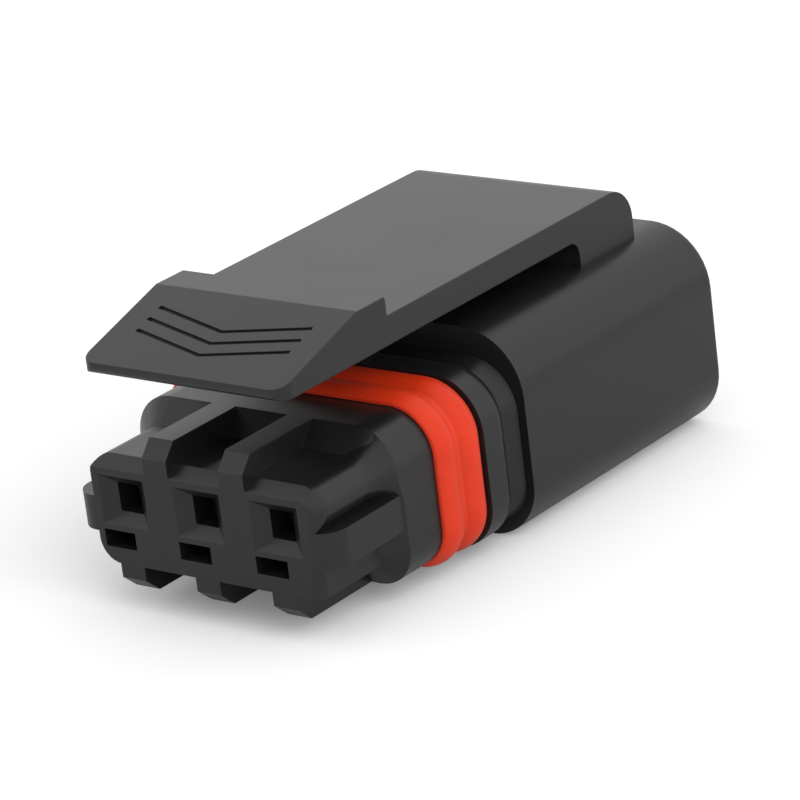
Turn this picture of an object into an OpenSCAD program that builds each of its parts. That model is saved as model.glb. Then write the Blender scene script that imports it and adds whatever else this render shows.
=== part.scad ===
// Sealed three-way automotive receptacle connector with a sprung press latch.
// Millimetres. X across the row of cells, Y from the mating face to the wire end,
// Z up. The origin is the middle pin port's axis at the mating face.

/* [Cells] */
// Distance between neighbouring cell axes
pitch = 2.5; // [2:0.05:3.2]
// Width of a square pin port
port_w = 0.75; // [0.6:0.01:0.95]
// Height of a square pin port
port_h = 0.78; // [0.6:0.01:0.95]
// Width of a port's lead-in funnel at the mating face
funnel_w = 1.53; // [1.2:0.01:1.85]
// Height of a port's lead-in funnel at the mating face
funnel_h = 1.36; // [1.1:0.01:1.65]
// Depth of a port's lead-in funnel
funnel_d = 0.3; // [0.2:0.01:0.5]
// Width of the release slot under each port
release_w = 1.03; // [0.8:0.01:1.25]
// Height of the release slot under each port
release_h = 0.48; // [0.35:0.01:0.6]
// Distance of the release slot's centre below its port's axis
release_drop = 1.07; // [1:0.01:1.2]
// Sideways distance of the release slot's centre from its port's axis
release_shift = 0.275; // [0:0.005:0.4]
// Width of a terminal cavity
cavity_w = 1.5; // [1.3:0.05:1.8]
// Height of a terminal cavity
cavity_h = 1.6; // [1.3:0.05:1.8]
// Depth from the mating face to the front of the terminal cavities
cavity_y = 1.05; // [0.8:0.05:1.3]
// Distance from the mating face to the tip of the lance that locks each terminal
lance_y = 2.6; // [2.2:0.05:3]
// Length of a lance
lance_l = 3.2; // [2.8:0.1:3.6]
// Width of a lance
lance_w = 0.8; // [0.6:0.05:0.95]
// Thickness of a lance
lance_t = 0.2; // [0.15:0.01:0.25]
// Height of a lance's tip above the cavity's floor
lance_h = 0.3; // [0.2:0.01:0.35]

/* [Nose] */
// Length of the nose from the mating face to the seal land
nose_l = 2.92; // [2.4:0.01:3.6]
// Height of the cell roofs above the port axes
roof_h = 1.16; // [1:0.01:1.4]
// Depth of the nose's underside below the port axes
belly_h = 1.75; // [1.5:0.01:2.1]
// Plain wall outside the outer funnel on the left
wall_left = 0.22; // [0.15:0.005:0.4]
// Height of the chamfer at the front of the cell roofs
brow_h = 0.29; // [0.2:0.01:0.35]
// Length of the chamfer at the front of the cell roofs
brow_l = 0.37; // [0.25:0.01:0.5]
// Corner radius of the nose at the upper left
nose_r_top = 0.45; // [0.3:0.05:0.7]
// Corner radius of the nose at the lower left
nose_r_low = 0.65; // [0.5:0.05:0.9]
// Width of the two ribs between the cell roofs
top_rib_w = 0.79; // [0.6:0.01:0.95]
// Width of the three ribs under the cells
low_rib_w = 0.79; // [0.6:0.01:0.95]
// Length of the chamfers at the front of the ribs
rib_chamfer = 0.4; // [0.3:0.01:0.5]
// Length of the slope from the cell roofs up to the seal land
wall_l = 0.54; // [0.4:0.01:0.65]
// Reach of the round shoulder beyond the outer cell axis on the right
shoulder_w = 1.45; // [1.2:0.01:1.6]
// Radius of the round shoulder
shoulder_r = 0.62; // [0.5:0.01:0.75]
// Radius that rounds the front of the round shoulder
shoulder_front_r = 0.43; // [0.3:0.01:0.5]
// Length of the sweep from the round shoulder out to the seal land
sweep_l = 0.91; // [0.7:0.01:1]
// Radius of the sweep from the round shoulder out to the seal land
sweep_r = 1.06; // [1.02:0.01:1.4]
// Reach of the side ledges beyond the outer cell axes
ledge_w = 1.74; // [1.6:0.01:1.8]
// Height of the side ledges
ledge_h = 0.965; // [0.7:0.005:1.1]
// Height of the side ledges' tops above the port axes
ledge_top = 0.05; // [-0.1:0.01:0.1]
// Front corner radius of the side ledges
ledge_r = 0.68; // [0.5:0.01:0.75]
// Reach of the foot under the right-hand ledge beyond the outer cell axis
foot_w = 1.22; // [1:0.01:1.4]
// Corner radius of the foot under the right-hand ledge
foot_r = 0.27; // [0.2:0.01:0.35]

/* [Seal land and collar] */
// Reach of the seal land beyond the outer cell axes
land_side = 1.8; // [1.6:0.01:2.1]
// Height of the seal land's top above the port axes
land_up = 1.76; // [1.6:0.01:2]
// Depth of the seal land's underside below the port axes
land_down = 2.53; // [2.2:0.01:2.8]
// Upper corner radius of the seal land
land_r_top = 1.25; // [0.9:0.01:1.5]
// Lower corner radius of the seal land
land_r_low = 1.1; // [0.9:0.01:1.5]
// Length of the seal land between the nose and the flange
seal_l = 3.18; // [2.6:0.01:3.9]
// Height of the flange above the seal land
flange_h = 0.25; // [0.2:0.01:0.3]
// Length of the flange's straight part
flange_l = 0.65; // [0.5:0.01:0.8]
// Radius that rounds the flange's back
flange_r = 0.45; // [0.35:0.01:0.55]
// Length of the neck between the flange and the flare
neck_l = 0.047; // [0.02:0.001:0.3]
// Length of the flare between the neck and the shell
flare_l = 0.5; // [0.3:0.01:0.7]
// Height of the flare above the neck
flare_h = 0.18; // [0.12:0.01:0.25]

/* [Ring seal] */
// Thickness of the ring seal's band
band_t = 0.1; // [0.08:0.01:0.15]
// Radius of each sealing lip's section
lip_r = 0.5; // [0.4:0.01:0.6]
// Height of each sealing lip above the seal land
lip_h = 0.3; // [0.25:0.01:0.36]
// Distance between the two sealing lips
lip_pitch = 0.98; // [0.8:0.01:1.15]

/* [Shell] */
// Length of the shell
shell_l = 8.9; // [7.4:0.05:10.7]
// Thickness of the shell's side walls
shell_side_t = 0.39; // [0.3:0.01:0.5]
// Thickness of the shell's roof
shell_top_t = 0.9; // [0.7:0.01:1.1]
// Thickness of the shell's floor
shell_low_t = 0.51; // [0.4:0.01:0.65]
// Upper corner radius of the shell
shell_r_top = 1.76; // [1.45:0.01:2]
// Lower corner radius of the shell
shell_r_low = 1.58; // [1.3:0.01:1.9]
// Radius that rounds the shell's rear edge
shell_edge_r = 0.2; // [0.1:0.01:0.3]

/* [Latch] */
// Width of the latch
latch_w = 6.6; // [5.4:0.05:7.4]
// Thickness of the latch arm
arm_t = 0.78; // [0.65:0.01:0.95]
// Gap between the latch arm and the shell
arm_gap = 0.74; // [0.6:0.01:0.95]
// Distance of the latch pad's front behind the mating face
pad_y = 0; // [-0.5:0.01:1]
// Length of the latch pad
pad_l = 4.37; // [3.6:0.01:5.2]
// Length of the flat along the latch pad's rear
pad_flat = 1.12; // [0.9:0.01:1.4]
// Height of the latch pad's locking step above the arm
pad_h = 0.51; // [0.4:0.01:0.65]
// Height of the latch pad's front face
lip_face_h = 0.34; // [0.28:0.01:0.4]
// Front corner radius of the latch pad
pad_r = 0.45; // [0.3:0.01:0.6]
// Radius that rounds the latch pad's lower front edge
toe_r = 0.22; // [0.15:0.01:0.26]
// Length of the latch's root along the shell
root_l = 2.5; // [2.1:0.05:3]
// Distance from the root's back to the shell's rear edge
root_inset = 1.47; // [1:0.01:1.9]
// Distance from the bend to the front of the root
root_gap = 0.55; // [0.45:0.01:0.7]
// Inner corner radius of the latch's root
root_r_in = 0.38; // [0.25:0.01:0.45]
// Outer corner radius of the latch's root
root_r_out = 0.9; // [0.7:0.01:1.1]
// Number of engraved chevrons on the latch pad
marks = 3; // [2:1:4]
// Width of an engraved chevron
mark_w = 5; // [3.8:0.1:5.2]
// Length of an engraved chevron
mark_l = 0.62; // [0.5:0.01:0.7]
// Distance between neighbouring chevrons
mark_pitch = 0.5; // [0.42:0.01:0.6]
// Stroke width of an engraved chevron
mark_t = 0.13; // [0.1:0.01:0.16]
// Depth of an engraved chevron
mark_d = 0.12; // [0.08:0.01:0.14]

/* [Wire end] */
// Length of the wire seal
mat_l = 2.9; // [2.4:0.1:3.4]
// Height of the wire seal's outer lips
mat_lip_h = 0.16; // [0.12:0.01:0.2]
// Radius of the wire seal's holes
mat_hole_r = 0.6; // [0.5:0.01:0.7]
// Length of the rear cover
cover_l = 2.2; // [1.8:0.05:2.7]
// Distance from the rear cover's back to the shell's rear edge
cover_inset = 0.35; // [0.1:0.01:0.6]
// Radius of a wire entry in the rear cover
wire_r = 0.85; // [0.7:0.01:1]
// Length of the flare at a wire entry's mouth
mouth_l = 0.3; // [0.2:0.01:0.4]
// Radial growth of a wire entry at its mouth
mouth_grow = 0.18; // [0.1:0.01:0.22]

/* [Terminals] */
// Length of a terminal's contact box
box_l = 3.4; // [2.8:0.05:4]
// Thickness of the terminal strip
strip_t = 0.15; // [0.12:0.01:0.18]
// Length of the neck behind a terminal's contact box
strip_l = 0.9; // [0.7:0.05:1.1]
// Length of a terminal's core crimp
core_l = 1.6; // [1.3:0.05:1.9]
// Radius of a terminal's core crimp
core_r = 0.42; // [0.35:0.01:0.5]
// Length of a terminal's insulation crimp
grip_l = 1.3; // [1.1:0.05:1.6]
// Radius of a terminal's insulation crimp
grip_r = 0.55; // [0.45:0.01:0.6]
// Distance between a terminal's two crimps
crimp_gap = 0.4; // [0.3:0.05:0.5]
// Height of the upright wings of a crimp
wing_h = 0.45; // [0.35:0.01:0.55]

/* [Fits] */
// Clearance between pieces that are pushed together
fit = 0.02; // [0.01:0.005:0.03]
// Clearance round the latch arm's bend
bend_fit = 0.02; // [0.015:0.001:0.03]
// Clearance between a terminal and the front of its cavity
terminal_fit = 0.1; // [0.05:0.01:0.2]
// Clearance between a contact box and the walls of its cavity
box_fit = 0.15; // [0.1:0.01:0.18]
// Clearance round a lance's tip
lance_fit = 0.05; // [0.03:0.01:0.08]
// Clearance in front of the wire seal and behind it
mat_fit = 0.05; // [0.03:0.01:0.2]

/* [Hidden] */
$fn = 64;
e = 0.05;
black = [0.09, 0.09, 0.095];
orange = [0.86, 0.26, 0.15];
tin = [0.72, 0.70, 0.66];
cells = [-pitch, 0, pitch];
left_x = -pitch - funnel_w / 2 - wall_left;
low_x = pitch + low_rib_w / 2 + 0.05;
shoulder_x = pitch + shoulder_w - shoulder_r;
shoulder_z = roof_h - shoulder_r;
sweep_y = nose_l - sweep_l;
land_x = pitch + land_side;
wall_h = 0.85;
wall_y = nose_l - wall_h * wall_l / (land_up - roof_h);
flange_y = nose_l + seal_l;
neck_y = flange_y + flange_l + sqrt(flange_r * flange_r - (flange_r - flange_h) * (flange_r - flange_h));
shell_y = neck_y + neck_l + flare_l + fit;
shell_x = land_x + fit + shell_side_t;
shell_top = land_up + fit + shell_top_t;
shell_low = -land_down - fit - shell_low_t;
shell_end = shell_y + shell_l;
arm_low = shell_top + arm_gap;
arm_top = arm_low + arm_t;
arm_mid = arm_low + arm_t / 2;
pad_top = arm_top + pad_h;
pad_end = pad_y + pad_l;
slope_y = pad_end - pad_flat;
slope_l = slope_y - pad_y;
slope_h = pad_top - arm_low - lip_face_h;
mark_y = (slope_l - mark_l - (marks - 1) * mark_pitch) / 2;
root_end = shell_end - root_inset;
root_y = root_end - root_l;
bend_y = root_y - root_gap;
cover_end = shell_end - cover_inset;
cover_y = cover_end - cover_l;
mouth_r = wire_r + mouth_grow * (mouth_l + e) / mouth_l;
mat_y = cover_y - mat_fit - mat_l;
tail_y = mat_y - mat_fit;
seal_end = flange_y - 0.05;
seal_y = seal_end - lip_pitch - 2 * sqrt(lip_r * lip_r - (lip_r - lip_h + band_t) * (lip_r - lip_h + band_t));
lance_end = lance_y + lance_l;
floor_z = -cavity_h / 2;
box_w = cavity_w - 2 * box_fit;
box_h = cavity_h - 2 * box_fit;

// Pushes a drawing of X and Z along Y, from y0 to y1.
module along(y0, y1) {
    translate([0, y1, 0])
        rotate([90, 0, 0])
            linear_extrude(y1 - y0)
                children();
}

// Pushes a drawing of Y and Z across X, from x0 to x1.
module across(x0, x1) {
    translate([x0, 0, 0])
        rotate([90, 0, 90])
            linear_extrude(x1 - x0)
                children();
}

// Rectangle with its own radius at the top corners and at the low corners.
module rounded(x, low, top, r_low, r_top) {
    translate([-x, low + r_low])
        square([2 * x, top - low - r_low - r_top]);
    translate([-x + r_top, top - r_top - e])
        square([2 * (x - r_top), r_top + e]);
    translate([-x + r_low, low])
        square([2 * (x - r_low), r_low + e]);
    for (s = [-1, 1]) {
        translate([s * (x - r_top), top - r_top])
            circle(r_top);
        translate([s * (x - r_low), low + r_low])
            circle(r_low);
    }
}

// Section of the seal land, grown or shrunk all round.
module land(grow = 0) {
    rounded(land_x + grow, -land_down - grow, land_up + grow, land_r_low + grow, land_r_top + grow);
}

// One corner of a band that runs round a rounded rectangle.
module band_corner(x, z, r, turn) {
    translate([x, 0, z])
        rotate([-90, turn, 0])
            rotate_extrude(angle = 90)
                translate([r, 0])
                    children();
}

// Runs a profile round a rounded rectangle. In the profile, X is the height
// above the rectangle and Y the distance from the mating face.
module band(x, low, top, r_low, r_top) {
    band_corner(x - r_top, top - r_top, r_top, -90)
        children();
    band_corner(-x + r_top, top - r_top, r_top, 180)
        children();
    band_corner(-x + r_low, low + r_low, r_low, 90)
        children();
    band_corner(x - r_low, low + r_low, r_low, 0)
        children();
    translate([-x + r_top, 0, top])
        rotate([0, -90, 180])
            linear_extrude(2 * (x - r_top))
                mirror([0, 1])
                    children();
    translate([x - r_low, 0, low])
        rotate([0, 90, 180])
            linear_extrude(2 * (x - r_low))
                mirror([0, 1])
                    children();
    translate([x, 0, low + r_low])
        linear_extrude(top - low - r_low - r_top)
            children();
    translate([-x, 0, low + r_low])
        linear_extrude(top - low - r_low - r_top)
            mirror([1, 0])
                children();
}

// Runs a profile round the seal land.
module land_band() {
    band(land_x, -land_down, land_up, land_r_low, land_r_top)
        children();
}

// Lead-in funnel with four sloping walls, and the square port behind it.
module port(x) {
    intersection() {
        translate([x, 0, -funnel_h])
            linear_extrude(2 * funnel_h)
                polygon([
                    [-funnel_w / 2, 0],
                    [funnel_w / 2, 0],
                    [port_w / 2, funnel_d],
                    [-port_w / 2, funnel_d]
                ]);
        across(x - funnel_w, x + funnel_w)
            polygon([
                [0, -funnel_h / 2],
                [0, funnel_h / 2],
                [funnel_d, port_h / 2],
                [funnel_d, -port_h / 2]
            ]);
    }
    translate([x - port_w / 2, funnel_d - 0.01, -port_h / 2])
        cube([port_w, cavity_y - funnel_d + e, port_h]);
}

// Terminal cavity with the room its lance springs into, and the release slot.
module cavity(x) {
    translate([x - cavity_w / 2, cavity_y, floor_z])
        cube([cavity_w, tail_y - cavity_y + 1, cavity_h]);
    translate([x - release_shift - release_w / 2, -1, -release_drop - release_h / 2])
        cube([release_w, cavity_y + 1 + e, release_h]);
    translate([x - cavity_w / 2, cavity_y, floor_z - lance_t - lance_h - lance_fit])
        cube([cavity_w, lance_end - cavity_y, cavity_h / 2 + lance_t + lance_h]);
}

// Sprung lance that rises into the window in the contact box's floor.
module lance(x) {
    across(x - lance_w / 2, x + lance_w / 2)
        polygon([
            [lance_end + e, floor_z - lance_t],
            [lance_end + e, floor_z],
            [lance_y + lance_l * 0.5, floor_z],
            [lance_y + lance_l * 0.3, floor_z + lance_h],
            [lance_y, floor_z + lance_h],
            [lance_y, floor_z],
            [lance_y + lance_l * 0.25, floor_z - lance_t]
        ]);
}

// Plan of a side block whose front corner is rounded.
module side_plan(x, l, r) {
    translate([0, r])
        square([x, l - r]);
    square([x - r, r + e]);
    translate([x - r, r])
        circle(r);
}

// Nose in front of the seal land, without the openings.
module nose() {
    difference() {
        union() {
            along(0, nose_l + e) {
                translate([left_x + nose_r_low, -belly_h])
                    square([low_x - left_x - nose_r_low, nose_r_low + e]);
                translate([left_x, -belly_h + nose_r_low])
                    square([low_x - left_x, belly_h + roof_h - nose_r_low - nose_r_top]);
                translate([left_x + nose_r_top, roof_h - nose_r_top - e])
                    square([low_x - left_x - nose_r_top, nose_r_top + e]);
                translate([left_x + nose_r_top, roof_h - nose_r_top])
                    circle(nose_r_top);
                translate([left_x + nose_r_low, -belly_h + nose_r_low])
                    circle(nose_r_low);
            }
            round_shoulder();
        }
        across(left_x - 1, pitch + shoulder_w + 1)
            polygon([
                [-1, roof_h - brow_h - brow_h / brow_l],
                [brow_l, roof_h],
                [brow_l, roof_h + 1],
                [-1, roof_h + 1]
            ]);
    }
    side_ledges();
    for (x = [-pitch / 2, pitch / 2]) {
        top_rib(x);
    }
    for (x = cells) {
        low_rib(x);
    }
}

// Round shoulder beside the right-hand cell, with its rounded front.
module round_shoulder() {
    translate([shoulder_x, 0, shoulder_z])
        rotate([-90, 0, 0])
            rotate_extrude()
                difference() {
                    square([shoulder_r, nose_l + e]);
                    translate([shoulder_r - shoulder_front_r, shoulder_front_r])
                        difference() {
                            translate([0, -shoulder_front_r - e])
                                square(shoulder_front_r + e);
                            circle(shoulder_front_r);
                        }
                }
    intersection() {
        along(0, nose_l + e) {
            translate([shoulder_x, shoulder_z])
                circle(shoulder_r);
            translate([0, ledge_top - e])
                square([shoulder_x, shoulder_z - ledge_top + e]);
        }
        translate([0, 0, -shoulder_r])
            linear_extrude(shoulder_r + shoulder_z)
                side_plan(shoulder_x + shoulder_r, nose_l + e, shoulder_front_r);
    }
    translate([0, 0, shoulder_z - e])
        cube([shoulder_x, nose_l + e, shoulder_r + e]);
}

// Sweep that carries the round shoulder out to the seal land's outline.
module shoulder_sweep() {
    intersection() {
        translate([shoulder_x, 0, shoulder_z])
            rotate([-90, 0, 0])
                rotate_extrude()
                    difference() {
                        translate([0, sweep_y])
                            square([shoulder_r + sweep_r, sweep_l + e]);
                        translate([shoulder_r + sweep_r, sweep_y])
                            circle(sweep_r);
                    }
        along(sweep_y, nose_l + e)
            intersection() {
                land();
                translate([0, ledge_top - e])
                    square([land_x, land_up]);
            }
    }
}

// Ledges along both sides, and the foot under the right-hand one.
module side_ledges() {
    for (s = [0, 1]) {
        translate([0, 0, ledge_top - ledge_h])
            mirror([s, 0, 0])
                linear_extrude(ledge_h)
                    side_plan(pitch + ledge_w, nose_l + e, ledge_r);
    }
    translate([0, 0, -belly_h])
        linear_extrude(belly_h + ledge_top - ledge_h + e)
            side_plan(pitch + foot_w, nose_l + e, foot_r);
}

// Rib between two cell roofs, flush with the top of the seal land.
module top_rib(x) {
    across(x - top_rib_w / 2, x + top_rib_w / 2)
        polygon([
            [0, 0],
            [0, land_up - rib_chamfer * 1.1],
            [rib_chamfer, land_up],
            [nose_l + e, land_up],
            [nose_l + e, 0]
        ]);
}

// Rib under a cell, flush with the underside of the seal land.
module low_rib(x) {
    across(x - low_rib_w / 2, x + low_rib_w / 2)
        polygon([
            [0, -belly_h + e],
            [0, -land_down + rib_chamfer],
            [rib_chamfer * 1.15, -land_down],
            [nose_l + e, -land_down],
            [nose_l + e, -belly_h + e]
        ]);
}

// Block that carries the ring seal, with the slope round its front.
module land_block() {
    difference() {
        along(wall_y, tail_y)
            land();
        land_band()
            polygon([
                [-wall_h, wall_y],
                [0, nose_l],
                [e, nose_l],
                [e, wall_y - e],
                [-wall_h, wall_y - e]
            ]);
    }
}

// Flange behind the ring seal, the neck, and the flare that meets the shell.
module collar() {
    land_band()
        intersection() {
            union() {
                translate([-0.4, flange_y])
                    square([0.4 + flange_h, flange_l]);
                translate([flange_h - flange_r, flange_y + flange_l])
                    circle(flange_r);
                polygon([
                    [-0.4, flange_y + flange_l],
                    [0, neck_y],
                    [0, shell_y - fit - flare_l],
                    [flare_h, shell_y - fit],
                    [-0.4, shell_y - fit]
                ]);
            }
            translate([-0.4, flange_y])
                square([1, shell_y - fit - flange_y]);
        }
}

module inner_housing() {
    color(black)
        difference() {
            union() {
                nose();
                shoulder_sweep();
                land_block();
                collar();
            }
            for (x = cells) {
                port(x);
                difference() {
                    cavity(x);
                    lance(x);
                }
            }
        }
}

// Double-lipped silicone ring on the seal land.
module ring_seal() {
    color(orange)
        land_band()
            intersection() {
                union() {
                    translate([fit, seal_y])
                        square([band_t - fit, seal_end - seal_y]);
                    for (y = [-lip_pitch / 2, lip_pitch / 2]) {
                        translate([lip_h - lip_r, (seal_y + seal_end) / 2 + y])
                            circle(lip_r);
                    }
                }
                translate([fit, seal_y])
                    square([1, seal_end - seal_y]);
            }
}

// Root of the latch, seen from the side, with the seat for the arm's bend.
module root_side() {
    difference() {
        union() {
            translate([bend_y, arm_low])
                square([root_end - root_r_out - bend_y, arm_t]);
            translate([root_y, shell_top - 0.4])
                square([root_l, arm_top - root_r_out - shell_top + 0.4]);
            translate([root_y, shell_top])
                square([root_l - root_r_out, arm_top - shell_top]);
            translate([root_end - root_r_out, arm_top - root_r_out])
                circle(root_r_out);
            translate([root_y - root_r_in, arm_low - root_r_in])
                square([root_r_in + e, root_r_in + e]);
        }
        translate([root_y - root_r_in, arm_low - root_r_in])
            circle(root_r_in);
        translate([bend_y, arm_mid])
            circle(arm_t / 2 + bend_fit);
    }
}

module outer_housing() {
    color(black)
        difference() {
            union() {
                along(shell_y, shell_end)
                    rounded(shell_x, shell_low, shell_top, shell_r_low, shell_r_top);
                across(-latch_w / 2, latch_w / 2)
                    root_side();
            }
            along(shell_y - 1, shell_end + 1)
                land(fit);
            band(shell_x, shell_low, shell_top, shell_r_low, shell_r_top)
                difference() {
                    translate([-shell_edge_r, shell_end - shell_edge_r])
                        square([shell_edge_r + e, shell_edge_r + e]);
                    translate([-shell_edge_r, shell_end - shell_edge_r])
                        circle(shell_edge_r);
                }
        }
}

// Chevron that points to the front of the latch pad.
module mark() {
    polygon([
        [0, 0],
        [mark_w / 2, mark_l],
        [mark_w / 2, mark_l + mark_t],
        [0, mark_t],
        [-mark_w / 2, mark_l + mark_t],
        [-mark_w / 2, mark_l]
    ]);
}

module latch_arm() {
    color(black)
        difference() {
            intersection() {
                across(-latch_w / 2, latch_w / 2)
                    difference() {
                        polygon([
                            [pad_y, arm_low],
                            [pad_y, arm_low + lip_face_h],
                            [slope_y, pad_top],
                            [pad_end, pad_top],
                            [pad_end, arm_top],
                            [bend_y + arm_t / 2, arm_top],
                            [bend_y + arm_t / 2, arm_low]
                        ]);
                        translate([pad_y + toe_r, arm_low + toe_r])
                            difference() {
                                translate([-toe_r - e, -toe_r - e])
                                    square(toe_r + e);
                                circle(toe_r);
                            }
                    }
                translate([0, 0, arm_low - 1])
                    linear_extrude(pad_top - arm_low + 2) {
                        translate([-latch_w / 2, pad_y + pad_r])
                            square([latch_w, bend_y + arm_t - pad_y - pad_r]);
                        translate([-latch_w / 2 + pad_r, pad_y])
                            square([latch_w - 2 * pad_r, pad_r + e]);
                        for (s = [-1, 1]) {
                            translate([s * (latch_w / 2 - pad_r), pad_y + pad_r])
                                circle(pad_r);
                        }
                    }
            }
            across(-latch_w, latch_w)
                difference() {
                    translate([bend_y, arm_low - 1])
                        square([arm_t, arm_t + 2]);
                    translate([bend_y, arm_mid])
                        circle(arm_t / 2);
                }
            for (i = [0 : marks - 1]) {
                translate([0, pad_y, arm_low + lip_face_h])
                    rotate([atan(slope_h / slope_l), 0, 0])
                        translate([0, mark_y + i * mark_pitch, -mark_d])
                            linear_extrude(1)
                                mark();
            }
        }
}

// Wire seal: a ribbed silicone block with a hole for each wire.
module wire_seal() {
    color(orange)
        difference() {
            union() {
                along(mat_y, mat_y + mat_l)
                    land(-mat_lip_h);
                land_band()
                    for (y = [mat_l * 0.2, mat_l * 0.5, mat_l * 0.8]) {
                        intersection() {
                            translate([-mat_lip_h - 0.05, mat_y + y])
                                circle(mat_lip_h + 0.05);
                            translate([-mat_lip_h - 0.3, mat_y])
                                square([mat_lip_h + 0.3, mat_l]);
                        }
                    }
            }
            for (x = cells) {
                translate([x, mat_y - 1, 0])
                    rotate([-90, 0, 0])
                        cylinder(h = mat_l + 2, r = mat_hole_r);
            }
        }
}

module rear_cover() {
    color(black)
        difference() {
            along(cover_y, cover_y + cover_l)
                land();
            for (x = cells) {
                translate([x, cover_y - 1, 0])
                    rotate([-90, 0, 0])
                        cylinder(h = cover_l + 2, r = wire_r);
                translate([x, cover_y + cover_l - mouth_l, 0])
                    rotate([-90, 0, 0])
                        cylinder(h = mouth_l + e, r1 = wire_r, r2 = mouth_r);
            }
        }
}

// Stamped receptacle contact: contact box, neck, core crimp, insulation crimp.
module terminal(x) {
    y0 = cavity_y + terminal_fit;
    low = -box_h / 2;
    y1 = y0 + box_l;
    y2 = y1 + strip_l;
    y3 = y2 + core_l + crimp_gap;
    color(tin)
        translate([x, 0, 0]) {
            difference() {
                translate([-box_w / 2, y0, low])
                    cube([box_w, box_l, box_h]);
                translate([-box_w / 2 + strip_t, y0 - 1, low + strip_t])
                    cube([box_w - 2 * strip_t, box_l + 2, box_h - 2 * strip_t]);
                translate([-lance_w / 2 - lance_fit, lance_y - lance_fit, low - 1])
                    cube([lance_w + 2 * lance_fit, lance_l * 0.45 + lance_fit, 1 + strip_t + e]);
            }
            across(-box_w / 4, box_w / 4)
                polygon([
                    [y0 + box_l * 0.1, -low - strip_t + e],
                    [y0 + box_l * 0.4, -low - strip_t - 0.13],
                    [y0 + box_l * 0.75, -low - strip_t + e]
                ]);
            translate([-core_r, y1 - e, low])
                cube([2 * core_r, grip_l + y3 - y1 + e, strip_t]);
            crimp(y2, core_l, core_r, low);
            crimp(y3, grip_l, grip_r, low);
        }
}

// Open crimp barrel whose wings are still upright.
module crimp(y, l, r, low) {
    along(y, y + l)
        difference() {
            union() {
                translate([0, low + r])
                    circle(r);
                translate([-r, low + r])
                    square([2 * r, wing_h]);
            }
            translate([0, low + r])
                circle(r - strip_t);
            translate([-r + strip_t, low + r])
                square([2 * (r - strip_t), 1]);
        }
}

module terminal_1() {
    terminal(cells[0]);
}

module terminal_2() {
    terminal(cells[1]);
}

module terminal_3() {
    terminal(cells[2]);
}

inner_housing();
outer_housing();
latch_arm();
ring_seal();
wire_seal();
rear_cover();
terminal_1();
terminal_2();
terminal_3();
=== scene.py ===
import math

import bmesh
import bpy
from mathutils import Matrix, Vector


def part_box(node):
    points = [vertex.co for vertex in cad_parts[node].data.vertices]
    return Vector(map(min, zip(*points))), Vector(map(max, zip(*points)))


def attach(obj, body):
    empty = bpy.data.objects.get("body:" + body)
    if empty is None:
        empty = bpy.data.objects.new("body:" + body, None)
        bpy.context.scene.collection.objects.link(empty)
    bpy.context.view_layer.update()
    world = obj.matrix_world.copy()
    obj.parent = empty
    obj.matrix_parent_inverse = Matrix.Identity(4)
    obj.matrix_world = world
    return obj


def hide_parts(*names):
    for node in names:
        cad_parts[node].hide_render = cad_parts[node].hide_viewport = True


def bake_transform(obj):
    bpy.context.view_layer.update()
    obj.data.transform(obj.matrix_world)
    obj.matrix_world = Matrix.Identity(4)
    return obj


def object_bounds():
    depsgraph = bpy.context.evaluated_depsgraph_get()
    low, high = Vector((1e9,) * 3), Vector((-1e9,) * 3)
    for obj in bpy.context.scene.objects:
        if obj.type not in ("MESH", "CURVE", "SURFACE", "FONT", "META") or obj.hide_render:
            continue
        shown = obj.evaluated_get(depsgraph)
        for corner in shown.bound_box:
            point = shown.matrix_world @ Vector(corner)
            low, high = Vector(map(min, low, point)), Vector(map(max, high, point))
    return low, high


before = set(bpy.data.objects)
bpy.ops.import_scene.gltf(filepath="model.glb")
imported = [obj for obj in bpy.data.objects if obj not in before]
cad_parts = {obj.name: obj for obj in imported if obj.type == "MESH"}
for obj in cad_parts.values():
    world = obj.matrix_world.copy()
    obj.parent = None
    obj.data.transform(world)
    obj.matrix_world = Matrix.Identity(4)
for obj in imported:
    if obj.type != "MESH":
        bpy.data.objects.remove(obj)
cad_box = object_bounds()
MM = 0.001

# ---------------------------------------------------------------- sizes
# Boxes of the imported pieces, as lowest and highest corner.
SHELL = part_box("outer_housing")
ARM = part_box("latch_arm")
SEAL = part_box("ring_seal")
WIRE_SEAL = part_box("wire_seal")

# The rear cover has the outline of the seal land, which both seals follow.
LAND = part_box("rear_cover")
LAND_MIDDLE = (LAND[0] + LAND[1]) / 2
LAND_WIDTH = LAND[1].x - LAND[0].x
LAND_HEIGHT = LAND[1].z - LAND[0].z
LAND_TOP_CORNER = 1.25 * MM
LAND_LOW_CORNER = 1.1 * MM

# Ring seal: two lips on a thin band. The last two are its height and width beside the CAD ring's.
RING_BAND = 0.1 * MM
RING_INSET = 0.02 * MM
RING_LIPS = 2
RING_LIP_RADIUS = 0.5 * MM
RING_LIP_HEIGHT = 0.298 * MM
RING_LIP_PITCH = 0.98 * MM
RING_SQUEEZE = 0.981
RING_PINCH = 0.996

# Wire seal: a block with lips round it and a hole for each wire.
WIRE_LIPS = 3
WIRE_LIP_RADIUS = 0.21 * MM
WIRE_LIP_DEPTH = 0.16 * MM
WIRE_LIP_SPACING = 0.3
WIRE_BLOCK_INSET = 0.3 * MM
WIRE_HOLES = 3
WIRE_HOLE_RADIUS = 0.6 * MM
WIRE_HOLE_PITCH = 2.5 * MM
SEAL_CLEARANCE = 0.002 * MM

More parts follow.
